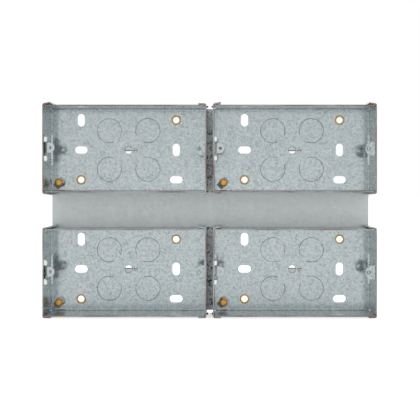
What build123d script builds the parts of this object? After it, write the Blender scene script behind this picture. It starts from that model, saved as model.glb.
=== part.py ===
from build123d import *
import os
from math import atan2, cos, degrees, radians, sin

# Four two gang flush boxes for wiring accessories, riveted to one back plate.
# They stand as in a wall: X to the right, Z up, and the open fronts face minus Y.
# The origin is the middle of the rear face of the back plate, and depths are counted
# from there towards the front.

# Driving dimensions, in millimetres and degrees
SHEET = 1.0
BOX_WIDTH = 133.0
BOX_HEIGHT = 71.2
BOX_DEPTH = 35.0
BOX_PITCH_X = 138.3
BOX_PITCH_Z = 100.8
LUG_SPACING = 120.6
PLATE_WIDTH = 268.0
PLATE_HEIGHT = 170.0
PLATE_SHEET = 1.2

# Folds and corners of a box
FOLD_RADIUS = 1.3
FOOT_RADIUS = 1.0
CORNER_RADIUS = 1.2
CORNER_RELIEF = 1.1
SEAM = 0.5
TAB_LENGTH = 6.5
TAB_GAP = 0.1
TAB_FOOT = 2.2
TENON_PROUD = 1.25
TENON_HEIGHT = 5.0
TENON_DROP = 15.5
TENON_PLAY = 0.25
DART_LENGTH = 25.0
DART_FOOT = 1.5
DART_RISE = 0.9

# How far the end of each tab has sprung off its long wall: left and right end of the top,
# then left and right end of the bottom
TAB_SPRINGS = {
    "top_left": ((1.2, 0.2), (0.95, 0.35)),
    "top_right": ((1.2, 0.75), (0.35, 0.65)),
    "bottom_left": ((1.1, 0.65), (0.05, 0.05)),
    "bottom_right": ((1.15, 0.85), (0.05, 0.05)),
}

# Holes in the base of a box, from its middle
FIXING_X = 40.2
FIXING_Z = 25.2
SLOT_LENGTH = 10.8
SLOT_WIDTH = 6.2
RIVET_HOLE = 6.0
CENTRE_HOLE = 6.3
PILOT_HOLE = 3.0
PILOT_X = 6.0
KNOCKOUT = 20.5
KNOCKOUT_OFFSET = 16.3
KNOCKOUT_CUT = 0.3
KNOCKOUT_DEPTH = 0.5
KNOCKOUT_TIE = 44.0

# Faceplate lugs: heights are drops below the rim
LUG_DROP = 3.5
LUG_HOLE = 2.9
FIXED_LUG_WIDTH = 11.4
FIXED_LUG_REACH = 7.8
LANCE_PLAY = 0.2
SLIDE_SHEET = 0.9
SLIDE_WIDTH = 8.2
SLIDE_REACH = 8.2
SLIDE_PLAY = 0.35
LEG_STAND_OFF = 1.05
LEG_RADIUS = 0.9
WING_ROOT = 0.6
WING_SPAN = 20.8
WING_TOP = 5.8
WING_FOOT = 11.6
LUG_REST = {"top_left": 0.85, "top_right": 0.3, "bottom_left": 0.65, "bottom_right": 0.95}

# Lanced loops that hold the sliding lug
LOOP_Z = 7.8
LOOP_WIDTH = 3.9
LOOP_CLEAR = 1.5
LOOP_TOP = 1.9
LOOP_FOOT = 15.0
LOOP_RAMP = 1.2
LOOP_RADIUS = 0.8

# Earth terminal: a brass screw in a bridge lanced from the base
EARTH_X = -58.0
EARTH_Z = -27.6
EARTH_TURN = 45.0
BRIDGE_WIDTH = 5.6
BRIDGE_LONG = 5.2
BRIDGE_SHORT = 3.9
BRIDGE_STEEP = 1.3
BRIDGE_LIFT = 3.0
BRIDGE_ROOT = 0.6
SCREW_HEAD = 7.0
SCREW_HEAD_HEIGHT = 2.2
SCREW_HEAD_EDGE = 0.5
SCREW_RISE = 8.0
SCREW_SHANK = 3.9
SCREW_PLAY = 0.1
SCREW_END_GAP = 0.7
DRIVE_LENGTH = 4.4
DRIVE_WIDTH = 0.9
DRIVE_DEPTH = 1.1

# Hollow rivets through the base and the plate, flared into countersinks behind
EYELET_FLANGE = 8.0
EYELET_BORE = 5.4
EYELET_PLAY = 0.05
EYELET_LIP = 0.5
EYELET_FLARE = 0.8

# Openings in the back plate, behind the knock-outs next to the middle
WINDOW_WIDTH = 58.0
WINDOW_HEIGHT = 29.5
WINDOW_EDGE = 1.0
WINDOW_CORNER = 2.0
PLATE_CORNER = 1.5

# Worked out from the driving dimensions
half_width = BOX_WIDTH / 2
half_height = BOX_HEIGHT / 2
base_front = PLATE_SHEET + SHEET
base_middle = PLATE_SHEET + SHEET / 2
rim = PLATE_SHEET + BOX_DEPTH
wall_x = half_width - SHEET / 2
wall_z = half_height - SHEET / 2
inner_x = half_width - SHEET
columns = {"left": -BOX_PITCH_X / 2, "right": BOX_PITCH_X / 2}
rows = {"top": BOX_PITCH_Z / 2, "bottom": -BOX_PITCH_Z / 2}


def front(depth):
    """Plane that faces the viewer, this far in front of the rear of the back plate."""
    return Plane.XZ.offset(depth)


def fixing_holes():
    """Slots for wall screws and holes for rivets, alike in the base and in the plate."""
    with Locations((-FIXING_X, FIXING_Z), (FIXING_X, 0)):
        SlotOverall(SLOT_LENGTH, SLOT_WIDTH, rotation=90)
    with Locations((-FIXING_X, 0), (FIXING_X, -FIXING_Z)):
        SlotOverall(SLOT_LENGTH, SLOT_WIDTH)
    with Locations((-FIXING_X, -FIXING_Z), (FIXING_X, FIXING_Z)):
        Circle(RIVET_HOLE / 2)


def knockout_cuts(centres, diameter, towards):
    """Thin lines round knock-outs, each left with one tie on the side of a given point."""
    with BuildLine() as cuts:
        for centre in centres:
            aim = Vector(*towards) - Vector(*centre)
            facing = degrees(atan2(aim.Y, aim.X))
            CenterArc(centre, diameter / 2, facing + KNOCKOUT_TIE / 2, 360 - KNOCKOUT_TIE)
    trace(cuts.edges(), line_width=KNOCKOUT_CUT)


with BuildPart() as back_plate:
    with BuildSketch(front(0)):
        RectangleRounded(PLATE_WIDTH, PLATE_HEIGHT, PLATE_CORNER)
    extrude(amount=PLATE_SHEET)
    # Openings, each from just inside a box's middle line towards the middle of the plate
    with BuildSketch(front(0)):
        with GridLocations(BOX_PITCH_X, BOX_PITCH_Z - 2 * WINDOW_EDGE - WINDOW_HEIGHT, 2, 2):
            RectangleRounded(WINDOW_WIDTH, WINDOW_HEIGHT, WINDOW_CORNER)
    extrude(amount=PLATE_SHEET, mode=Mode.SUBTRACT)
    with BuildSketch(front(0)):
        with GridLocations(BOX_PITCH_X, BOX_PITCH_Z, 2, 2):
            fixing_holes()
    extrude(amount=PLATE_SHEET, mode=Mode.SUBTRACT)
    # Countersinks in the rear face, so that the rivets end flush and the plate lies flat
    with BuildSketch(front(0)):
        with GridLocations(BOX_PITCH_X, BOX_PITCH_Z, 2, 2):
            with Locations((-FIXING_X, -FIXING_Z), (FIXING_X, FIXING_Z)):
                Circle(RIVET_HOLE / 2 + EYELET_FLARE)
    extrude(amount=EYELET_FLARE, taper=45, mode=Mode.SUBTRACT)
back_plate.part.label = "back_plate"

boxes = {}
for place, tab_springs in TAB_SPRINGS.items():
    with BuildPart() as box:
        # Feet of the short walls, cut back at the corners so that the sheet can be folded
        with BuildSketch(Plane.XY):
            with BuildLine():
                FilletPolyline(
                    (-wall_x, -rim),
                    (-wall_x, -base_middle),
                    (wall_x, -base_middle),
                    (wall_x, -rim),
                    radius=FOOT_RADIUS,
                )
            trace(line_width=SHEET)
        extrude(amount=half_height - CORNER_RELIEF, both=True)
        # Short walls, with tabs that wrap round the outside of the long walls
        tab_z = half_height + TAB_GAP + SHEET / 2
        with BuildSketch(front(PLATE_SHEET + TAB_FOOT)):
            for side, top_spring, bottom_spring in zip((-1, 1), *tab_springs):
                with BuildLine():
                    FilletPolyline(
                        (side * (half_width - TAB_LENGTH), tab_z + top_spring),
                        (side * wall_x, tab_z),
                        (side * wall_x, -tab_z),
                        (side * (half_width - TAB_LENGTH), -tab_z - bottom_spring),
                        radius=CORNER_RADIUS,
                    )
                trace(line_width=SHEET)
        extrude(amount=BOX_DEPTH - TAB_FOOT)
        # Darts pressed across the folds at the feet of the short walls, to stiffen them
        with BuildSketch(Plane.XY):
            for side in (-1, 1):
                with BuildLine():
                    Polyline(
                        (side * wall_x, -base_middle),
                        (side * wall_x, -base_front - DART_RISE),
                        (side * inner_x, -base_front - DART_RISE),
                        (side * (inner_x - DART_FOOT), -base_front),
                        (side * (inner_x - DART_FOOT), -base_middle),
                        close=True,
                    )
                make_face()
        extrude(amount=DART_LENGTH / 2, both=True)
        # Slots in the short walls for the tenons of the long walls
        for side in (-1, 1):
            with BuildSketch(Plane.YZ.offset(side * inner_x)):
                with Locations((TENON_DROP - rim, 0)):
                    with GridLocations(0, 2 * wall_z, 1, 2):
                        Rectangle(TENON_HEIGHT + 2 * TENON_PLAY, SHEET + 2 * TENON_PLAY)
            extrude(amount=side * SHEET, mode=Mode.SUBTRACT)
        # Base and long walls, which stop short of the short walls by an open seam
        with BuildSketch(Plane.YZ):
            with BuildLine():
                FilletPolyline(
                    (-rim, wall_z),
                    (-base_middle, wall_z),
                    (-base_middle, -wall_z),
                    (-rim, -wall_z),
                    radius=FOLD_RADIUS,
                )
            trace(line_width=SHEET)
        extrude(amount=inner_x - SEAM, both=True)
        # Tenons at the ends of the long walls, staked in the slots
        for side in (-1, 1):
            with BuildSketch(Plane.YZ.offset(side * (inner_x - SEAM))):
                with Locations((TENON_DROP - rim, 0)):
                    with GridLocations(0, 2 * wall_z, 1, 2):
                        Rectangle(TENON_HEIGHT, SHEET)
            extrude(amount=side * (SEAM + SHEET + TENON_PROUD))
        # Punching of the base: holes, and knock-outs tied on the side of the box's middle,
        # which were pressed back flush, so that only a line is left round them
        with BuildSketch(front(PLATE_SHEET)):
            fixing_holes()
            Circle(CENTRE_HOLE / 2)
            with Locations((PILOT_X, 0)):
                Circle(PILOT_HOLE / 2)
        extrude(amount=SHEET, mode=Mode.SUBTRACT)
        with BuildSketch(front(base_front)):
            base_knockouts = GridLocations(2 * KNOCKOUT_OFFSET, 2 * KNOCKOUT_OFFSET, 2, 2)
            centres = [spot.position for spot in base_knockouts.local_locations]
            knockout_cuts([(spot.X, spot.Y) for spot in centres], KNOCKOUT, (0, 0))
        extrude(amount=-KNOCKOUT_DEPTH, mode=Mode.SUBTRACT)
        # Fixed lug, lanced from the right wall and folded in, with the window that it leaves
        window_half = FIXED_LUG_WIDTH / 2 + LANCE_PLAY
        window_top = LUG_DROP + SHEET - FOLD_RADIUS - SHEET / 2
        window_foot = LUG_DROP + SHEET + FIXED_LUG_REACH
        lug_end_x = inner_x - FIXED_LUG_REACH + FIXED_LUG_WIDTH / 2
        with BuildSketch(Plane.YZ.offset(inner_x)):
            with Locations((window_foot - window_half - rim, 0)):
                Circle(window_half)
            with Locations(((window_top + window_foot - window_half) / 2 - rim, 0)):
                Rectangle(window_foot - window_half - window_top, 2 * window_half)
        extrude(amount=SHEET, mode=Mode.SUBTRACT)
        with BuildSketch(Plane.XY):
            with BuildLine():
                FilletPolyline(
                    (wall_x, window_top - SHEET - rim),
                    (wall_x, LUG_DROP + SHEET / 2 - rim),
                    (lug_end_x, LUG_DROP + SHEET / 2 - rim),
                    radius=FOLD_RADIUS,
                )
            trace(line_width=SHEET)
        extrude(amount=FIXED_LUG_WIDTH / 2, both=True)
        with BuildSketch(front(rim - LUG_DROP - SHEET)):
            with Locations((lug_end_x, 0)):
                Circle(FIXED_LUG_WIDTH / 2)
            with Locations((lug_end_x + FIXED_LUG_WIDTH / 2, 0)):
                Rectangle(FIXED_LUG_WIDTH, FIXED_LUG_WIDTH, mode=Mode.SUBTRACT)
        extrude(amount=SHEET)
        with BuildSketch(front(rim - LUG_DROP - SHEET)):
            with Locations((LUG_SPACING / 2, 0)):
                Circle(LUG_HOLE / 2)
        extrude(amount=SHEET, mode=Mode.SUBTRACT)
        # Loops lanced from the left wall, and the slots that they leave
        with BuildSketch(Plane.YZ.offset(-half_width)):
            with Locations(((LOOP_TOP + LOOP_FOOT) / 2 - rim, 0)):
                with GridLocations(0, 2 * LOOP_Z, 1, 2):
                    Rectangle(LOOP_FOOT - LOOP_TOP, LOOP_WIDTH + 2 * LANCE_PLAY)
        extrude(amount=SHEET, mode=Mode.SUBTRACT)
        loop_rise = LOOP_CLEAR + SHEET
        for z in (-LOOP_Z, LOOP_Z):
            with BuildSketch(Plane.XY.offset(z)):
                with BuildLine():
                    FilletPolyline(
                        (-wall_x, LOOP_TOP - SHEET - rim),
                        (-wall_x, LOOP_TOP - rim),
                        (-wall_x + loop_rise, LOOP_TOP + LOOP_RAMP - rim),
                        (-wall_x + loop_rise, LOOP_FOOT - LOOP_RAMP - rim),
                        (-wall_x, LOOP_FOOT - rim),
                        (-wall_x, LOOP_FOOT + SHEET - rim),
                        radius=LOOP_RADIUS,
                    )
                trace(line_width=SHEET)
            extrude(amount=LOOP_WIDTH / 2, both=True)
        # Bridge lanced from the base for the earth screw, and the slot that it leaves
        turn = radians(EARTH_TURN)
        with BuildSketch(front(PLATE_SHEET)):
            with Locations(Location((EARTH_X, EARTH_Z), EARTH_TURN)):
                with Locations(((BRIDGE_SHORT - BRIDGE_LONG) / 2, 0)):
                    Rectangle(BRIDGE_LONG + BRIDGE_SHORT, BRIDGE_WIDTH + 2 * LANCE_PLAY)
        extrude(amount=SHEET, mode=Mode.SUBTRACT)
        bridge_plane = Plane(
            origin=(EARTH_X, 0, EARTH_Z),
            x_dir=(cos(turn), 0, sin(turn)),
            z_dir=(sin(turn), 0, -cos(turn)),
        )
        with BuildSketch(bridge_plane):
            with BuildLine():
                FilletPolyline(
                    (-BRIDGE_LONG - BRIDGE_ROOT, base_middle),
                    (-BRIDGE_LONG, base_middle),
                    (-BRIDGE_LONG + BRIDGE_LIFT, base_middle + BRIDGE_LIFT),
                    (BRIDGE_SHORT - BRIDGE_STEEP, base_middle + BRIDGE_LIFT),
                    (BRIDGE_SHORT, base_middle),
                    (BRIDGE_SHORT + BRIDGE_ROOT, base_middle),
                    radius=LOOP_RADIUS,
                )
            trace(line_width=SHEET)
        extrude(amount=BRIDGE_WIDTH / 2, both=True)
        with BuildSketch(front(base_front)):
            with Locations((EARTH_X, EARTH_Z)):
                Circle(SCREW_SHANK / 2 + SCREW_PLAY)
        extrude(amount=BRIDGE_LIFT + SHEET, mode=Mode.SUBTRACT)
    boxes[place] = box.part

with BuildPart() as sliding_lug:
    # Leg and tongue: the leg is set off from the wings, so that it clears the loops
    wing_x = -inner_x + SLIDE_PLAY + SLIDE_SHEET / 2
    leg_x = -inner_x + LEG_STAND_OFF + SLIDE_SHEET / 2
    tongue_drop = LUG_DROP + SLIDE_SHEET / 2
    with BuildSketch(Plane.XY):
        with BuildLine():
            FilletPolyline(
                (leg_x, WING_FOOT - rim),
                (leg_x, tongue_drop - rim),
                (-inner_x + SLIDE_REACH / 2, tongue_drop - rim),
                radius=LEG_RADIUS,
            )
        trace(line_width=SLIDE_SHEET)
    extrude(amount=SLIDE_WIDTH / 2, both=True)
    with BuildSketch(front(rim - LUG_DROP - SLIDE_SHEET)):
        with Locations((-inner_x + SLIDE_REACH - SLIDE_WIDTH / 2, 0)):
            Circle(SLIDE_WIDTH / 2)
        with Locations((leg_x - SLIDE_WIDTH / 2 + LEG_RADIUS, 0)):
            Rectangle(SLIDE_WIDTH, SLIDE_WIDTH, mode=Mode.SUBTRACT)
    extrude(amount=SLIDE_SHEET)
    with BuildSketch(front(rim - LUG_DROP - SLIDE_SHEET)):
        with Locations((-LUG_SPACING / 2, 0)):
            Circle(LUG_HOLE / 2)
    extrude(amount=SLIDE_SHEET, mode=Mode.SUBTRACT)
    # Wings, flat on the wall behind the two loops and joined to the sides of the leg
    wing_start = SLIDE_WIDTH / 2 - WING_ROOT
    wing_width = WING_SPAN / 2 - wing_start
    with BuildSketch(Plane.YZ.offset(wing_x)):
        with Locations(((WING_TOP + WING_FOOT) / 2 - rim, 0)):
            with GridLocations(0, 2 * wing_start + wing_width, 1, 2):
                Rectangle(WING_FOOT - WING_TOP, wing_width)
    extrude(amount=SLIDE_SHEET / 2, both=True)

with BuildPart() as earth_screw:
    with BuildSketch(front(base_front + SCREW_RISE - SCREW_HEAD_HEIGHT)):
        with Locations((EARTH_X, EARTH_Z)):
            Circle(SCREW_HEAD / 2)
    extrude(amount=SCREW_HEAD_HEIGHT)
    chamfer(earth_screw.edges().sort_by(Axis.Y)[0], SCREW_HEAD_EDGE)
    with BuildSketch(front(PLATE_SHEET + SCREW_END_GAP)):
        with Locations((EARTH_X, EARTH_Z)):
            Circle(SCREW_SHANK / 2)
    extrude(amount=base_front + SCREW_RISE - SCREW_HEAD_HEIGHT - PLATE_SHEET - SCREW_END_GAP)
    with BuildSketch(front(base_front + SCREW_RISE)):
        with Locations(Location((EARTH_X, EARTH_Z), EARTH_TURN)):
            Rectangle(DRIVE_LENGTH, DRIVE_WIDTH)
            Rectangle(DRIVE_WIDTH, DRIVE_LENGTH)
    extrude(amount=-DRIVE_DEPTH, mode=Mode.SUBTRACT)

with BuildPart() as eyelet:
    # Half section: a barrel through both sheets, with a lip in front and a flare behind
    bore = EYELET_BORE / 2
    barrel = RIVET_HOLE / 2 - EYELET_PLAY
    lip = EYELET_FLANGE / 2
    with BuildSketch(Plane.XY) as section:
        with BuildLine():
            Polyline(
                (bore, -EYELET_FLARE),
                (bore + EYELET_FLARE, 0),
                (barrel + EYELET_FLARE, 0),
                (barrel, -EYELET_FLARE),
                (barrel, -base_front),
                (lip, -base_front),
                (lip, -base_front - EYELET_LIP),
                (bore, -base_front - EYELET_LIP),
                close=True,
            )
        make_face()
    revolve(axis=Axis.Y)

os.makedirs("parts", exist_ok=True)
export_step(back_plate.part, "parts/back_plate.step")
for row, row_z in rows.items():
    for column, column_x in columns.items():
        place = row + "_" + column
        for kind, piece, rise in (
            ("box", boxes[place], 0),
            ("sliding_lug", sliding_lug.part, LUG_REST[place]),
            ("earth_screw", earth_screw.part, 0),
        ):
            with BuildPart() as placed:
                with Locations((column_x, 0, row_z + rise)):
                    add(piece)
            placed.part.label = kind + "_" + place
            export_step(placed.part, "parts/" + placed.part.label + ".step")
        for end, (eyelet_x, eyelet_z) in {
            "low": (-FIXING_X, -FIXING_Z),
            "high": (FIXING_X, FIXING_Z),
        }.items():
            with BuildPart() as placed:
                with Locations((column_x + eyelet_x, 0, row_z + eyelet_z)):
                    add(eyelet.part)
            placed.part.label = "eyelet_" + place + "_" + end
            export_step(placed.part, "parts/" + placed.part.label + ".step")
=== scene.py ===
import math

import bmesh
import bpy
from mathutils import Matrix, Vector


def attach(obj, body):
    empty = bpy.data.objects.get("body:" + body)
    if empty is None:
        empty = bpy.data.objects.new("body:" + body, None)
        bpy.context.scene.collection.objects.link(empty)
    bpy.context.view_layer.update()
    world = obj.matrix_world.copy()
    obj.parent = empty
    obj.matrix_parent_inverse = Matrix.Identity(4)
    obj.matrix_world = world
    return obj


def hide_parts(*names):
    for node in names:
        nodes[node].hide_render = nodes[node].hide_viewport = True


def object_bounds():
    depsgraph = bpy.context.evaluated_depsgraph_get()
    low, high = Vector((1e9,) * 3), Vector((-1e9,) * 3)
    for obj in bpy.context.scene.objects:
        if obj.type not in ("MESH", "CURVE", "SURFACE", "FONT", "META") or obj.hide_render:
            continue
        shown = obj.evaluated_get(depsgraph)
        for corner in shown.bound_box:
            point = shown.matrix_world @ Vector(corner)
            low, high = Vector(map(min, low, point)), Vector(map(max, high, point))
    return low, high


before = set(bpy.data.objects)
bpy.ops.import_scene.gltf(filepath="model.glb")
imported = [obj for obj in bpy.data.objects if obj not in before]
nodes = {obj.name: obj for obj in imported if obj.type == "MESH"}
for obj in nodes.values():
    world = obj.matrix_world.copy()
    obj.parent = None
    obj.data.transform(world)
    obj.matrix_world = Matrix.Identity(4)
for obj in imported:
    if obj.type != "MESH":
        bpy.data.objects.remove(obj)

cad_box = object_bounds()

# Back plate: one flat sheet of steel, punched with the same slots as the boxes and dipped in
# zinc. The dip leaves it smoother and duller than the boxes, with a faint cloudy crystal
# pattern, and it carries all four boxes on its front.
PLATE_ZINC = (200, 206, 206)
PLATE_CLOUD = (168, 180, 182)
PLATE_BLUSH = (200, 198, 198)
PLATE_DIRT_AND_SHADE = (52, 52, 50)
PLATE_BURR = (112, 106, 100)
BORDER_WANDER = 0.0022
CRYSTAL_RELIEF = 0.00012
BORDER_PER_METRE = 520
CLOUD_PER_METRE = 150
PATCH_PER_METRE = 420
FLECK_PER_METRE = 900
SMALL_CRYSTALS = 2.1
DULL_RANGE = 0.05
GAP_HALF = 0.0031
GAP_FROM = 0.0148
DIRT_PER_METRE = 560
CLUMP_PER_METRE = 90
SHADE_FILM_PER_METRE = 60
SHADE_FILM_SHARE = 0.16
FACING_FRONT = -0.5
BURR_MIDDLE_X = 0.06915
BURR_HALF = 0.029
BURR_FROM_Z = 0.0494
BURR_TO_Z = 0.0502


def tone(red, green, blue):
    """A colour as it is seen on the object, turned into the shader's linear values."""
    values = []
    for part in (red, green, blue):
        part = part / 255
        values.append(part / 12.92 if part <= 0.04045 else ((part + 0.055) / 1.055) ** 2.4)
    return (*values, 1.0)


class Wiring:
    """Adds nodes to one node tree. What goes into a node is a plain value or the output of
    another node, and each method hands back the output of the node that it adds."""

    def __init__(self, owner):
        self.nodes, self.link = owner.nodes, owner.links.new

    def add(self, kind, values, result, **settings):
        node = self.nodes.new(kind)
        for name, setting in settings.items():
            setattr(node, name, setting)
        for name, value in values.items():
            if isinstance(value, bpy.types.NodeSocket):
                self.link(value, node.inputs[name])
            else:
                node.inputs[name].default_value = value
        return node.outputs[result]

    def place(self):
        return self.add("ShaderNodeTexCoord", {}, "Object")

    def axes(self, kind="Object"):
        """The X, Y and Z of a place on the piece, or of the way that its surface faces."""
        apart = self.nodes.new("ShaderNodeSeparateXYZ")
        self.link(self.add("ShaderNodeTexCoord", {}, kind), apart.inputs["Vector"])
        return apart.outputs

    def masks(self, group):
        node = self.nodes.new("ShaderNodeGroup")
        node.node_tree = group
        return node.outputs

    def noise(self, place, per_metre, detail=2.0, rough=0.5, result="Fac"):
        values = {"Vector": place, "Scale": per_metre, "Detail": detail, "Roughness": rough}
        return self.add("ShaderNodeTexNoise", values, result)

    def spread(self, value, low, high, to_low=0.0, to_high=1.0):
        """A value between low and high, stretched to the range between two others."""
        values = {"From Min": low, "From Max": high, "To Min": to_low, "To Max": to_high}
        return self.add("ShaderNodeMapRange", {"Value": value, **values}, "Result")

    def mixed(self, amount, base, over):
        values = {"Factor": amount, "A": base, "B": over}
        return self.add("ShaderNodeMix", values, "Result", data_type="RGBA")

    def sum_of(self, kind, first, second=0.0):
        return self.add("ShaderNodeMath", {0: first, 1: second}, "Value", operation=kind)

    def above(self, value, limit):
        return self.sum_of("GREATER_THAN", value, limit)

    def below(self, value, limit):
        return self.sum_of("LESS_THAN", value, limit)

    def held(self, value):
        """A value kept between nothing and one."""
        return self.sum_of("MINIMUM", self.sum_of("MAXIMUM", value, 0.0), 1.0)

    def every(self, mask, *others):
        """Masks laid over each other, so that only what they share is left."""
        for other in others:
            mask = self.sum_of("MULTIPLY", mask, other)
        return mask

    def far(self, first, second):
        """How far a point is from the middle, by its two distances along the sides."""
        squares = [self.sum_of("MULTIPLY", value, value) for value in (first, second)]
        return self.sum_of("SQRT", self.sum_of("ADD", *squares))


def spangle_group():
    """Crystals of a zinc dip: cells with ragged borders, each a little lighter, darker or
    pinker than its neighbours, with clouds and dark flecks over them, and a low relief."""
    group = bpy.data.node_groups.new("zinc spangle", "ShaderNodeTree")
    for name, way, kind in (
        ("Zinc", "INPUT", "NodeSocketColor"),
        ("Shade", "INPUT", "NodeSocketColor"),
        ("Blush", "INPUT", "NodeSocketColor"),
        ("Crystals per metre", "INPUT", "NodeSocketFloat"),
        ("Contrast", "INPUT", "NodeSocketFloat"),
        ("Roughness", "INPUT", "NodeSocketFloat"),
        ("Color", "OUTPUT", "NodeSocketColor"),
        ("Roughness", "OUTPUT", "NodeSocketFloat"),
        ("Height", "OUTPUT", "NodeSocketFloat"),
    ):
        group.interface.new_socket(name, in_out=way, socket_type=kind)
    wires = Wiring(group)
    given = wires.nodes.new("NodeGroupInput").outputs
    out = wires.nodes.new("NodeGroupOutput").inputs
    place, sum_of, spread = wires.place(), wires.sum_of, wires.spread

    # Ragged crystal borders come from a place that a fine noise has pushed about
    push = wires.noise(place, BORDER_PER_METRE, 3.0, result="Color")
    values = {0: push, 1: (BORDER_WANDER,) * 3, 2: place}
    ragged = wires.add("ShaderNodeVectorMath", values, "Vector", operation="MULTIPLY_ADD")

    def cells(per_metre):
        crystals = wires.nodes.new("ShaderNodeTexVoronoi")
        wires.link(ragged, crystals.inputs["Vector"])
        wires.link(per_metre, crystals.inputs["Scale"])
        parts = wires.nodes.new("ShaderNodeSeparateColor")
        wires.link(crystals.outputs["Color"], parts.inputs["Color"])
        return parts.outputs, crystals.outputs["Distance"]

    parts, from_core = cells(given["Crystals per metre"])
    small_parts, _ = cells(sum_of("MULTIPLY", given["Crystals per metre"], SMALL_CRYSTALS))
    cloud = spread(wires.noise(place, CLOUD_PER_METRE, 5.0, 0.65), 0.38, 0.62)
    patch = spread(wires.noise(place, PATCH_PER_METRE, 3.0, 0.6), 0.42, 0.62)
    fleck = spread(wires.noise(place, FLECK_PER_METRE), 0.55, 0.68)
    lone = wires.every(spread(small_parts["Red"], 0.72, 0.85), fleck)
    dark = wires.every(spread(parts["Red"], 0.3, 1.0, 0.0, 0.3), cloud)
    for mark, share in ((patch, 0.3), (fleck, 0.38), (lone, 0.8)):
        dark = sum_of("ADD", dark, sum_of("MULTIPLY", mark, share))
    dark = wires.every(dark, given["Contrast"])
    pink = wires.every(spread(parts["Green"], 0.45, 1.0), given["Contrast"])
    blushed = wires.mixed(pink, given["Zinc"], given["Blush"])
    wires.link(wires.mixed(dark, blushed, given["Shade"]), out["Color"])
    dull = spread(parts["Blue"], 0.0, 1.0, -DULL_RANGE, DULL_RANGE)
    wires.link(sum_of("ADD", given["Roughness"], dull), out["Roughness"])
    wires.link(sum_of("ADD", patch, from_core), out["Height"])
    return group


spangle = spangle_group()


def plain_material(name, metal, roughness):
    """A new material with one even surface; returns it, its wiring and its shader."""
    material = bpy.data.materials.new(name)
    material.use_nodes = True
    wires = Wiring(material.node_tree)
    shader = wires.nodes["Principled BSDF"]
    shader.inputs["Metallic"].default_value = metal
    shader.inputs["Roughness"].default_value = roughness
    return material, wires, shader


def zinc_material(name, zinc, shade, blush, per_metre, contrast, roughness, metal, relief):
    """Zinc coated steel, which mirrors what is round it a little blurred; returns the
    material, its wiring, and the nodes that rust and cut lines are laid over."""
    material, wires, shader = plain_material(name, metal, roughness)
    crystal = wires.nodes.new("ShaderNodeGroup")
    crystal.node_tree = spangle
    for socket, value in (
        ("Zinc", tone(*zinc)),
        ("Shade", tone(*shade)),
        ("Blush", tone(*blush)),
        ("Crystals per metre", per_metre),
        ("Contrast", contrast),
        ("Roughness", roughness),
    ):
        crystal.inputs[socket].default_value = value
    wires.link(crystal.outputs["Color"], shader.inputs["Base Color"])
    wires.link(crystal.outputs["Roughness"], shader.inputs["Roughness"])
    values = {"Strength": relief, "Distance": CRYSTAL_RELIEF, "Height": crystal.outputs["Height"]}
    wires.link(wires.add("ShaderNodeBump", values, "Normal"), shader.inputs["Normal"])
    return material, wires, crystal, shader


def coat(node, material):
    """Gives a piece this material in all its slots."""
    if not node.material_slots:
        node.data.materials.append(material)
    for slot in node.material_slots:
        slot.material = material


def mask_group(name, *masks):
    """A node group that gives out masks; returns it, its wiring and its outlets."""
    group = bpy.data.node_groups.new(name, "ShaderNodeTree")
    for mask in masks:
        group.interface.new_socket(mask, in_out="OUTPUT", socket_type="NodeSocketFloat")
    wires = Wiring(group)
    return group, wires, wires.nodes.new("NodeGroupOutput").inputs


def dirt_and_shade_group():
    """Where the plate is darkened: a mask for dark dirt flecks with painted shade, a cloudy darkening
    where the walls of the boxes shade the narrow gap between them, and one for the burr that the punch
    leaves along one edge of each window."""
    group, wires, out = mask_group("plate dirt and shade", "Dirt and shade", "Burr")
    place, axes, sum_of = wires.place(), wires.axes(), wires.sum_of

    def blotch(per_metre, low, high):
        return wires.spread(wires.noise(place, per_metre, 4.0), low, high)

    across = sum_of("ABSOLUTE", axes["X"])
    up = sum_of("ABSOLUTE", axes["Z"])
    front = wires.below(wires.axes("Normal")["Y"], FACING_FRONT)
    between = wires.every(wires.below(across, GAP_HALF), wires.above(up, GAP_FROM), front)
    flecks = wires.every(blotch(DIRT_PER_METRE, 0.48, 0.6), blotch(CLUMP_PER_METRE, 0.36, 0.56))
    # Painted shade: a cloudy darkening over the gap between the boxes, where their walls shade the plate
    shade_film = sum_of("MULTIPLY", blotch(SHADE_FILM_PER_METRE, 0.35, 0.75), SHADE_FILM_SHARE)
    gap_darkening = wires.every(between, sum_of("ADD", flecks, shade_film))
    wires.link(wires.held(gap_darkening), out["Dirt and shade"])
    off = sum_of("ABSOLUTE", sum_of("SUBTRACT", across, BURR_MIDDLE_X))
    edge = wires.every(wires.above(up, BURR_FROM_Z), wires.below(up, BURR_TO_Z))
    wires.link(wires.every(wires.below(off, BURR_HALF), edge, front), out["Burr"])
    return group


plate_zinc, wires, crystal, shader = zinc_material(
    "plate zinc", PLATE_ZINC, PLATE_CLOUD, PLATE_BLUSH,
    per_metre=480, contrast=0.5, roughness=0.4, metal=0.7, relief=0.08,
)
dirt_and_shade_masks = wires.masks(dirt_and_shade_group())
surface = crystal.outputs["Color"]
# The burr line, then dark dirt flecks and painted shade in the gap between the boxes
for mask, colour in (("Burr", PLATE_BURR), ("Dirt and shade", PLATE_DIRT_AND_SHADE)):
    surface = wires.mixed(dirt_and_shade_masks[mask], surface, tone(*colour))
wires.link(surface, shader.inputs["Base Color"])
coat(nodes["back_plate"], plate_zinc)

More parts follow.
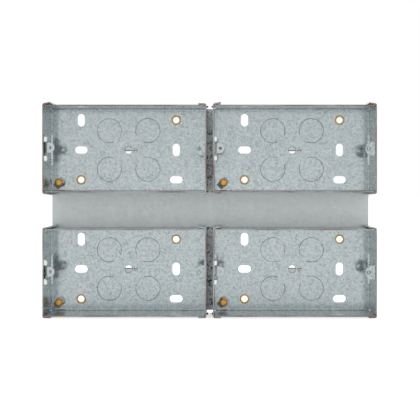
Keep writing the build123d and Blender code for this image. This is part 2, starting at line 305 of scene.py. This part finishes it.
# Boxes: each is punched from one sheet of dipped steel and folded up, so the crystals are
# bright and coarse on its faces, while the rim was sheared after the dip and has bare steel
# that has rusted to a thin brown line, most of all round the outside of the group.
BOX_ZINC = (194, 203, 204)
BOX_SHADE = (116, 140, 145)
BOX_BLUSH = (195, 196, 199)
BOX_METAL = 0.82
BASE_ROUGHNESS = 0.14
WALL_ROUGHNESS = 0.24
WALL_CONTRAST = 1.1
WALL_STREAK = (110, 128, 132)
STREAK_PER_METRE = 260
STREAK_STRETCH = 0.06
STREAK_SHARE = 0.35
UPRIGHT = 0.3
LEVEL = 0.9
RIM_RUST = (132, 112, 103)
RIM_PALE = (164, 164, 163)
LINE_SHADE = (66, 72, 70)
SHADE_BLACK = (26, 26, 28)
LOOP_AND_TAB_HIGHLIGHT = (232, 236, 236)
BRIDGE_SLOPE = (190, 202, 208)
SLOPE_METAL = 0.15
BOX_MIDDLE_X = 0.06915
BOX_MIDDLE_Z = 0.0504
RIM_DEPTH = 0.0362
RIM_LINE = 0.0001
RUST_PER_METRE = 45
RUST_OUTSIDE = 0.3
OUTER_WALL_X = 0.1335
OUTER_WALL_Z = 0.0838
LINE_WIDTH = 0.0005
FADING_PER_METRE = 130
BASE_DEPTH = 0.0024
BASE_KNOCKOUT_OFFSET = 0.0163
BASE_KNOCKOUT_RADIUS = 0.01025
BASE_TIE = 0.01344
WALL_KNOCKOUT_DROP = 0.0175
WALL_KNOCKOUT_RADIUS = 0.01
LONG_WALL_PAIR = 0.02615
LONG_WALL_APART = 0.01465
LONG_WALL_Z = 0.0342
SHORT_WALL_APART = 0.022
SHORT_WALL_X = 0.0652
WALL_TIE = 0.0095
MIDDLE_HOLE = 0.00315
PILOT_HOLE = 0.0015
PILOT_X = 0.006
HOLE_SHARE = 0.7
TAPPED_HOLE = 0.00155
TAPPED_X = 0.0603
TAPPED_DEPTH = 0.028
TAPPED_SHARE = 0.6
TENON_FROM_X = 0.06655
CHANNEL_HALF = 0.0056
CHANNEL_WALL_X = 0.0658
CHANNEL_FOOT = 0.0235
LOOP_FROM_X = 0.062
LOOP_WALL_X = 0.0653
LOOP_Z = 0.0078
LOOP_HALF = 0.0017
LOOP_FOOT = 0.0312
FACING_INSIDE = -0.5
TAB_FROM_X = 0.058
TAB_FROM_Z = 0.03575
BRIDGE_X = -0.058
BRIDGE_Z = -0.0276
BRIDGE_REACH = 0.0062
BOX_MIDDLES = {
    f"{row}_{column}": (x, z)
    for row, z in (("top", BOX_MIDDLE_Z), ("bottom", -BOX_MIDDLE_Z))
    for column, x in (("left", -BOX_MIDDLE_X), ("right", BOX_MIDDLE_X))
}


def rim_group():
    """Where the sheared rim is: a mask for its line, and one for how rusty it is there."""
    group, wires, out = mask_group("sheared rim", "Rim", "Rust")
    axes, sum_of = wires.axes(), wires.sum_of
    wires.link(wires.below(axes["Y"], RIM_LINE - RIM_DEPTH), out["Rim"])
    side = wires.above(sum_of("ABSOLUTE", axes["X"]), OUTER_WALL_X)
    end = wires.above(sum_of("ABSOLUTE", axes["Z"]), OUTER_WALL_Z)
    outside = sum_of("MULTIPLY", sum_of("MAXIMUM", side, end), RUST_OUTSIDE)
    patches = sum_of("SUBTRACT", wires.noise(wires.place(), RUST_PER_METRE, 4.0), 0.4)
    patches = sum_of("MULTIPLY", patches, 4.0)
    wires.link(wires.held(sum_of("ADD", outside, patches)), out["Rust"])
    return group


def line_group():
    """Where the press has left its marks, and where light and shade are painted: a mask for the thin
    ring round each knock-out, in base and walls, but not at the tie that still holds it, and for the
    edges of the round holes and a ring of painted shade in the tapped hole; one for painted shade, black
    on the tenon ends and in the channel behind the lug, where shade falls;
    one for painted highlights on the loops and tabs; and one for the slopes of the earth bridge, which
    the press has scuffed dull."""
    group, wires, out = mask_group("press marks and painted light", "Line", "Painted shade", "Bright", "Dull")
    axes, facing = wires.axes(), wires.axes("Normal")
    sum_of, above, below, every = wires.sum_of, wires.above, wires.below, wires.every

    def from_middle(value, middle):
        """A distance from the middle of the box that the point belongs to, with its sign."""
        nearest = sum_of("MULTIPLY", sum_of("SIGN", value), middle)
        return sum_of("SUBTRACT", value, nearest)

    def folded(value, middle):
        return sum_of("ABSOLUTE", sum_of("SUBTRACT", sum_of("ABSOLUTE", value), middle))

    def ring(first, second, radius, reach=LINE_WIDTH / 2):
        off = sum_of("ABSOLUTE", sum_of("SUBTRACT", wires.far(first, second), radius))
        return below(off, reach)

    right, high = from_middle(axes["X"], BOX_MIDDLE_X), from_middle(axes["Z"], BOX_MIDDLE_Z)
    across, up = folded(axes["X"], BOX_MIDDLE_X), folded(axes["Z"], BOX_MIDDLE_Z)

    from_x = sum_of("SUBTRACT", across, BASE_KNOCKOUT_OFFSET)
    from_z = sum_of("SUBTRACT", up, BASE_KNOCKOUT_OFFSET)
    base = every(
        ring(from_x, from_z, BASE_KNOCKOUT_RADIUS),
        above(sum_of("ADD", from_x, from_z), -BASE_TIE),
        above(axes["Y"], -BASE_DEPTH),
    )
    down = sum_of("ADD", axes["Y"], RIM_DEPTH - WALL_KNOCKOUT_DROP)
    pair = sum_of("ABSOLUTE", sum_of("SUBTRACT", across, LONG_WALL_PAIR))
    from_x = sum_of("SUBTRACT", pair, LONG_WALL_APART)
    long_wall = every(ring(from_x, down, WALL_KNOCKOUT_RADIUS), above(up, LONG_WALL_Z))
    from_z = sum_of("SUBTRACT", up, SHORT_WALL_APART)
    short_wall = every(ring(from_z, down, WALL_KNOCKOUT_RADIUS), above(across, SHORT_WALL_X))
    walls = every(sum_of("MAXIMUM", long_wall, short_wall), below(down, WALL_TIE))
    fading = wires.noise(wires.place(), FADING_PER_METRE)
    fading = sum_of("ADD", sum_of("MULTIPLY", fading, 1.6), -0.1)
    line = wires.held(every(sum_of("MAXIMUM", base, walls), fading))

    # Edges of the round holes in the base, and a ring of painted shade in the tapped hole of the fixed
    # lug
    middle = ring(right, up, MIDDLE_HOLE)
    pilot = ring(sum_of("SUBTRACT", right, PILOT_X), up, PILOT_HOLE)
    tapped = ring(sum_of("SUBTRACT", right, TAPPED_X), up, TAPPED_HOLE)
    tapped = every(tapped, below(axes["Y"], -TAPPED_DEPTH))
    for hole, share in (
        (sum_of("MAXIMUM", middle, pilot), HOLE_SHARE), (tapped, TAPPED_SHARE),
    ):
        line = sum_of("MAXIMUM", line, sum_of("MULTIPLY", hole, share))
    wires.link(line, out["Line"])

    # Painted shade: the channel between the left wall and the sliding lug's leg, and the tenon ends
    # beyond the short walls, are painted black where shade falls
    left = below(right, -LOOP_FROM_X)
    channel = every(
        left,
        below(up, CHANNEL_HALF),
        above(right, -CHANNEL_WALL_X),
        below(axes["Y"], -CHANNEL_FOOT),
        above(axes["Y"], RIM_LINE - RIM_DEPTH),
    )
    wires.link(sum_of("MAXIMUM", above(across, TENON_FROM_X), channel), out["Painted shade"])
    # Painted highlight: the loops that hold the lug and the inner faces of the corner tabs are painted
    # near white, as if they caught the light
    loops = every(
        left,
        below(sum_of("ABSOLUTE", sum_of("SUBTRACT", up, LOOP_Z)), LOOP_HALF),
        above(right, -LOOP_WALL_X),
        below(axes["Y"], -LOOP_FOOT),
    )
    inside = below(sum_of("MULTIPLY", sum_of("SIGN", high), facing["Z"]), FACING_INSIDE)
    tabs = every(inside, above(across, TAB_FROM_X), above(up, TAB_FROM_Z))
    wires.link(sum_of("MAXIMUM", loops, tabs), out["Bright"])
    from_bridge = [sum_of("SUBTRACT", right, BRIDGE_X), sum_of("SUBTRACT", high, BRIDGE_Z)]
    slanted = below(sum_of("ABSOLUTE", facing["Y"]), LEVEL)
    wires.link(every(ring(*from_bridge, 0.0, BRIDGE_REACH), slanted), out["Dull"])
    return group


box_zinc, wires, crystal, shader = zinc_material(
    "box zinc", BOX_ZINC, BOX_SHADE, BOX_BLUSH,
    per_metre=480, contrast=1.0, roughness=BASE_ROUGHNESS, metal=BOX_METAL, relief=0.04,
)
level = wires.sum_of("ABSOLUTE", wires.axes("Normal")["Y"])
for socket, on_wall, on_base in (
    ("Contrast", WALL_CONTRAST, 1.0), ("Roughness", WALL_ROUGHNESS, BASE_ROUGHNESS),
):
    wires.link(wires.spread(level, UPRIGHT, LEVEL, on_wall, on_base), crystal.inputs[socket])
drawn = {"Vector": wires.place(), "Scale": (1.0, STREAK_STRETCH, 1.0)}
streaks = wires.noise(wires.add("ShaderNodeMapping", drawn, "Vector"), STREAK_PER_METRE, 4.0)
streaks = wires.spread(streaks, 0.46, 0.66, 0.0, STREAK_SHARE)
streaks = wires.every(streaks, wires.spread(level, LEVEL, UPRIGHT))
surface = wires.mixed(streaks, crystal.outputs["Color"], tone(*WALL_STREAK))
rim, marks = wires.masks(rim_group()), wires.masks(line_group())
edge = wires.mixed(rim["Rust"], tone(*RIM_PALE), tone(*RIM_RUST))
surface = wires.mixed(rim["Rim"], surface, edge)
# Over the zinc: the knock-out lines, painted highlight, painted shade in black, and the duller bridge
# slopes
for mask, colour in (
    ("Line", LINE_SHADE), ("Bright", LOOP_AND_TAB_HIGHLIGHT), ("Painted shade", SHADE_BLACK), ("Dull", BRIDGE_SLOPE),
):
    surface = wires.mixed(marks[mask], surface, tone(*colour))
wires.link(surface, shader.inputs["Base Color"])
metal = wires.spread(marks["Dull"], 0.0, 1.0, BOX_METAL, SLOPE_METAL)
wires.link(metal, shader.inputs["Metallic"])
for place in BOX_MIDDLES:
    coat(nodes["box_" + place], box_zinc)

# Sliding lugs: small blanks of brighter zinced steel, folded and tapped for a faceplate
# screw. Each is held against the left wall by two loops and slides up and down behind them.
LUG_ZINC = (206, 211, 212)
LUG_SHADE = (181, 187, 189)
LUG_BLUSH = (207, 203, 203)

lug_zinc, *_ = zinc_material(
    "lug zinc", LUG_ZINC, LUG_SHADE, LUG_BLUSH,
    per_metre=700, contrast=0.5, roughness=0.35, metal=0.35, relief=0.12,
)
for place in BOX_MIDDLES:
    coat(nodes["sliding_lug_" + place], lug_zinc)

# Earth screws: turned brass with a low cheese head, a raised bright middle and a cross recess,
# left half screwed into the bridge that is lanced from the base. The thread was rolled, and
# the head has darkened to orange round the edge.
SCREW_BRASS = (204, 142, 62)
SCREW_BRIGHT = (216, 188, 116)
SCREW_GROOVE = (146, 92, 38)
SCREW_TURN = math.radians(45)
SCREW_STAIN_PER_METRE = 700
SCREW_SIDES = 48
SCREW_TOP = 0.0102
SCREW_HEAD = 0.0035
SCREW_HEAD_HEIGHT = 0.0022
SCREW_EDGE = 0.0007
SCREW_CROWN = 0.0022
CROWN_HEIGHT = 0.0004
CROWN_EDGE = 0.0001
CROWN_FLAT = 0.6
CROWN_SLOPE = 0.00005
CROWN_FADE = 0.0003
GROOVE_OUT = 0.0003
GROOVE_NEAR = 0.0001
GROOVE_FAR = 0.0004
SCREW_SHANK = 0.00195
SCREW_END = 0.0019
SCREW_TIP = 0.0003
TIP_SHARE = 0.75
NECK_STEP = 0.0002
THREAD_PITCH = 0.0007
THREAD_DEPTH = 0.00035
THREAD_ROWS = 84
THREAD_START = 0.00002
RECESS_LENGTH = 0.0036
RECESS_TAPER = 0.001
RECESS_WIDTH = 0.0008
RECESS_DEPTH = 0.0011


def turned(name, profile, around, twist=None):
    """A turned piece on the Y axis: rings of the profile's (radius, depth) pairs, joined in
    turn. A radius of nothing closes an end, and twist may change a radius along a thread."""
    corners, faces = [], []
    for radius, depth in profile:
        for step in range(around):
            angle = 2 * math.pi * step / around
            reach = twist(radius, depth, angle) if twist else radius
            corners.append((reach * math.cos(angle), -depth, reach * math.sin(angle)))
    for row in range(len(profile) - 1):
        for step in range(around):
            after = (step + 1) % around
            low, high = row * around, (row + 1) * around
            faces.append((low + step, low + after, high + after, high + step))
    mesh = bpy.data.meshes.new(name)
    mesh.from_pydata(corners, [], faces)
    shape = bmesh.new()
    shape.from_mesh(mesh)
    bmesh.ops.remove_doubles(shape, verts=shape.verts, dist=1e-7)
    bmesh.ops.recalc_face_normals(shape, faces=shape.faces)
    shape.to_mesh(mesh)
    shape.free()
    for face in mesh.polygons:
        face.use_smooth = True
    mesh.set_sharp_from_angle(angle=math.radians(32))
    return mesh


def placed(mesh, name, x, z, node):
    """Sets a turned piece in the place of the CAD piece that it stands for."""
    piece = bpy.data.objects.new(name, mesh)
    piece.location = (x, 0, z)
    bpy.context.scene.collection.objects.link(piece)
    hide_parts(node)
    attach(piece, "root")


def thread(radius, depth, angle):
    """The rolled thread: the shank's radius rises and falls once in each pitch."""
    if radius < SCREW_SHANK - THREAD_DEPTH - 1e-6 or radius > SCREW_SHANK + 1e-6:
        return radius
    along = (depth / THREAD_PITCH + angle / (2 * math.pi)) % 1.0
    return radius - THREAD_DEPTH * (1 - abs(2 * along - 1))


# The screw's outline from the middle of its crown, over the rounded head and down the shank
underside = SCREW_TOP - SCREW_HEAD_HEIGHT
flank = SCREW_HEAD - SCREW_EDGE
profile = [
    (0.0, SCREW_TOP),
    (SCREW_CROWN * CROWN_FLAT, SCREW_TOP),
    (SCREW_CROWN, SCREW_TOP - CROWN_EDGE),
    (SCREW_CROWN + CROWN_EDGE, SCREW_TOP - CROWN_HEIGHT + CROWN_SLOPE),
    (flank, SCREW_TOP - CROWN_HEIGHT),
]
for angle in (math.radians(15 * step) for step in range(1, 7)):
    drop = CROWN_HEIGHT + SCREW_EDGE - SCREW_EDGE * math.cos(angle)
    profile.append((flank + SCREW_EDGE * math.sin(angle), SCREW_TOP - drop))
profile += [(SCREW_HEAD, underside), (SCREW_SHANK + NECK_STEP, underside)]
thread_length = underside - SCREW_END - SCREW_TIP
for row in range(THREAD_ROWS + 1):
    profile.append((SCREW_SHANK, underside - THREAD_START - thread_length * row / THREAD_ROWS))
profile += [(SCREW_SHANK * TIP_SHARE, SCREW_END), (0.0, SCREW_END)]
screw_mesh = turned("earth screw", profile, SCREW_SIDES, thread)

# The cross recess, cut by two blocks that are shorter at the bottom
blank = bpy.data.objects.new("screw blank", screw_mesh)
bpy.context.scene.collection.objects.link(blank)
for turn in (SCREW_TURN, SCREW_TURN + math.pi / 2):
    cutter = bmesh.new()
    bmesh.ops.create_cube(cutter, size=1.0)
    for corner in cutter.verts:
        outer = corner.co.y < 0
        x = corner.co.x * (RECESS_LENGTH if outer else RECESS_LENGTH - RECESS_TAPER)
        z = corner.co.z * RECESS_WIDTH
        y = -SCREW_TOP - RECESS_DEPTH if outer else -SCREW_TOP + RECESS_DEPTH
        corner.co = (x * math.cos(turn) - z * math.sin(turn), y, x * math.sin(turn) + z * math.cos(turn))
    cutter_mesh = bpy.data.meshes.new("recess cutter")
    cutter.to_mesh(cutter_mesh)
    cutter.free()
    cutter_piece = bpy.data.objects.new("recess cutter", cutter_mesh)
    bpy.context.scene.collection.objects.link(cutter_piece)
    recess = blank.modifiers.new("recess", "BOOLEAN")
    recess.operation = "DIFFERENCE"
    recess.object = cutter_piece
bpy.context.view_layer.update()
cut_mesh = bpy.data.meshes.new_from_object(blank.evaluated_get(bpy.context.evaluated_depsgraph_get()))
for used in [blank] + [cut.object for cut in blank.modifiers]:
    bpy.data.objects.remove(used)

screw_brass, wires, shader = plain_material("screw brass", metal=0.9, roughness=0.28)
axes = wires.axes()
reach = wires.far(axes["X"], axes["Z"])
crown = wires.spread(reach, SCREW_CROWN + CROWN_EDGE, SCREW_CROWN - CROWN_FADE)
stain = wires.noise(wires.place(), SCREW_STAIN_PER_METRE, 3.0)
clean = wires.spread(stain, 0.38, 0.56)
surface = wires.mixed(wires.every(crown, clean), tone(*SCREW_BRASS), tone(*SCREW_BRIGHT))
off_groove = wires.sum_of("ABSOLUTE", wires.sum_of("SUBTRACT", reach, SCREW_CROWN + GROOVE_OUT))
groove = wires.spread(off_groove, GROOVE_FAR, GROOVE_NEAR)
surface = wires.mixed(groove, surface, tone(*SCREW_GROOVE))
wires.link(surface, shader.inputs["Base Color"])
cut_mesh.materials.clear()
cut_mesh.materials.append(screw_brass)
for place, (x, z) in BOX_MIDDLES.items():
    node = f"earth_screw_{place}"
    placed(cut_mesh, node + "_threaded", x + BRIDGE_X, z + BRIDGE_Z, node)

# Eyelets: hollow rivets rolled from thin brass tube, through the base and the plate, two to a
# box. Each has a rounded bead in front and is flared into a countersink behind.
EYELET_BRASS = (194, 150, 60)
EYELET_BRIGHT = (208, 168, 80)
EYELET_STAIN_PER_METRE = 260
EYELET_SIDES = 64
EYELET_BORE = 0.0027
EYELET_BARREL = 0.00295
EYELET_FLANGE = 0.004
EYELET_BEAD = 0.0005
EYELET_FLARE = 0.0008
BASE_FRONT = 0.0022
EYELET_PLACES = {"low": (-0.0402, -0.0252), "high": (0.0402, 0.0252)}

bead_middle = (EYELET_BORE + EYELET_FLANGE) / 2
bead_half = (EYELET_FLANGE - EYELET_BORE) / 2
profile = [
    (bead_middle - bead_half * math.cos(angle), BASE_FRONT + EYELET_BEAD * math.sin(angle))
    for angle in (math.radians(15 * step) for step in range(13))
]
profile += [
    (EYELET_BARREL, BASE_FRONT),
    (EYELET_BARREL, EYELET_FLARE),
    (EYELET_BARREL + EYELET_FLARE, 0.0),
    (EYELET_BORE + EYELET_FLARE, 0.0),
    (EYELET_BORE, EYELET_FLARE),
    (EYELET_BORE, BASE_FRONT),
]
eyelet_mesh = turned("eyelet", profile, EYELET_SIDES)

eyelet_brass, wires, shader = plain_material("eyelet brass", metal=0.95, roughness=0.25)
stain = wires.noise(wires.place(), EYELET_STAIN_PER_METRE)
surface = wires.mixed(stain, tone(*EYELET_BRASS), tone(*EYELET_BRIGHT))
wires.link(surface, shader.inputs["Base Color"])
eyelet_mesh.materials.append(eyelet_brass)
for place, (x, z) in BOX_MIDDLES.items():
    for end, (over, up) in EYELET_PLACES.items():
        node = f"eyelet_{place}_{end}"
        placed(eyelet_mesh, node + "_rolled", x + over, z + up, node)

# Studio: a white floor under the group, white air all round it, which the zinc mirrors, and
# one weak lamp far in front, which it doesn't. The dark patches beside the lugs and screws
# are their mirror images in the bases. The floor is dimmer in the mirror than to the camera.
FLOOR_REACH = 6.0
FLOOR_GAP = 0.0002
FLOOR_GLOW = 0.62
FLOOR_SHEEN = 0.36
LAMP_AWAY = 5.0
LAMP_ABOVE = 0.25
LAMP_SIZE = 0.25
LAMP_WATTS = 22.0
AIR_LIGHT = 0.85

lowest, _ = cad_box
floor_level = lowest.z - FLOOR_GAP
floor_mesh = bpy.data.meshes.new("floor")
floor_mesh.from_pydata(
    [
        (-FLOOR_REACH, -FLOOR_REACH, floor_level),
        (FLOOR_REACH, -FLOOR_REACH, floor_level),
        (FLOOR_REACH, FLOOR_REACH, floor_level),
        (-FLOOR_REACH, FLOOR_REACH, floor_level),
    ],
    [],
    [(0, 1, 2, 3)],
)
floor = bpy.data.objects.new("floor", floor_mesh)
bpy.context.scene.collection.objects.link(floor)
floor_white, wires, shader = plain_material("floor white", metal=0.0, roughness=0.9)
shader.inputs["Base Color"].default_value = (0.8, 0.8, 0.8, 1.0)
shader.inputs["Emission Color"].default_value = (1.0, 1.0, 1.0, 1.0)
rays = wires.nodes.new("ShaderNodeLightPath").outputs
glow = [
    wires.sum_of("MULTIPLY", rays[ray], strength)
    for ray, strength in (("Is Camera Ray", FLOOR_GLOW), ("Is Glossy Ray", FLOOR_SHEEN))
]
wires.link(wires.sum_of("MAXIMUM", *glow), shader.inputs["Emission Strength"])
floor.data.materials.append(floor_white)

world = bpy.data.worlds.new("white air")
bpy.context.scene.world = world
world.use_nodes = True
wires = Wiring(world.node_tree)
air = wires.nodes["Background"]
air.inputs["Color"].default_value = (1.0, 1.0, 1.0, 1.0)
rays = wires.nodes.new("ShaderNodeLightPath").outputs
seen = wires.sum_of("MAXIMUM", rays["Is Camera Ray"], rays["Is Glossy Ray"])
seen = wires.sum_of("MAXIMUM", seen, rays["Is Transmission Ray"])
wires.link(wires.spread(seen, 0.0, 1.0, AIR_LIGHT, 1.0), air.inputs["Strength"])

lamp_light = bpy.data.lights.new("lamp", "AREA")
lamp_light.shape = "DISK"
lamp_light.size = LAMP_SIZE
lamp_light.energy = LAMP_WATTS
lamp = bpy.data.objects.new("lamp", lamp_light)
lamp.location = (0.0, -LAMP_AWAY, LAMP_ABOVE)
lamp.rotation_euler = (Vector((0, 0, 0)) - lamp.location).to_track_quat("-Z", "Y").to_euler()
lamp.visible_glossy = False
bpy.context.scene.collection.objects.link(lamp)

# Camera: square on to the open fronts, a little right of the middle and above it, as the
# leaning walls of the photograph show.
CAMERA_ACROSS = 0.0141
CAMERA_ABOVE = 0.0233
CAMERA_AWAY = 0.762
CAMERA_SHIFT_X = -0.0405
CAMERA_SHIFT_Y = -0.0667
LENS = 80.6
SENSOR = 36.0

camera_lens = bpy.data.cameras.new("camera")
camera_lens.sensor_width = SENSOR
camera_lens.lens = LENS
camera_lens.shift_x = CAMERA_SHIFT_X
camera_lens.shift_y = CAMERA_SHIFT_Y
camera_lens.clip_start = 0.05
camera_lens.clip_end = 50.0
camera = bpy.data.objects.new("camera", camera_lens)
camera.location = (CAMERA_ACROSS, -RIM_DEPTH - CAMERA_AWAY, CAMERA_ABOVE)
camera.rotation_euler = (math.pi / 2, 0, 0)
bpy.context.scene.collection.objects.link(camera)
bpy.context.scene.camera = camera
bpy.context.scene.view_settings.view_transform = "Standard"
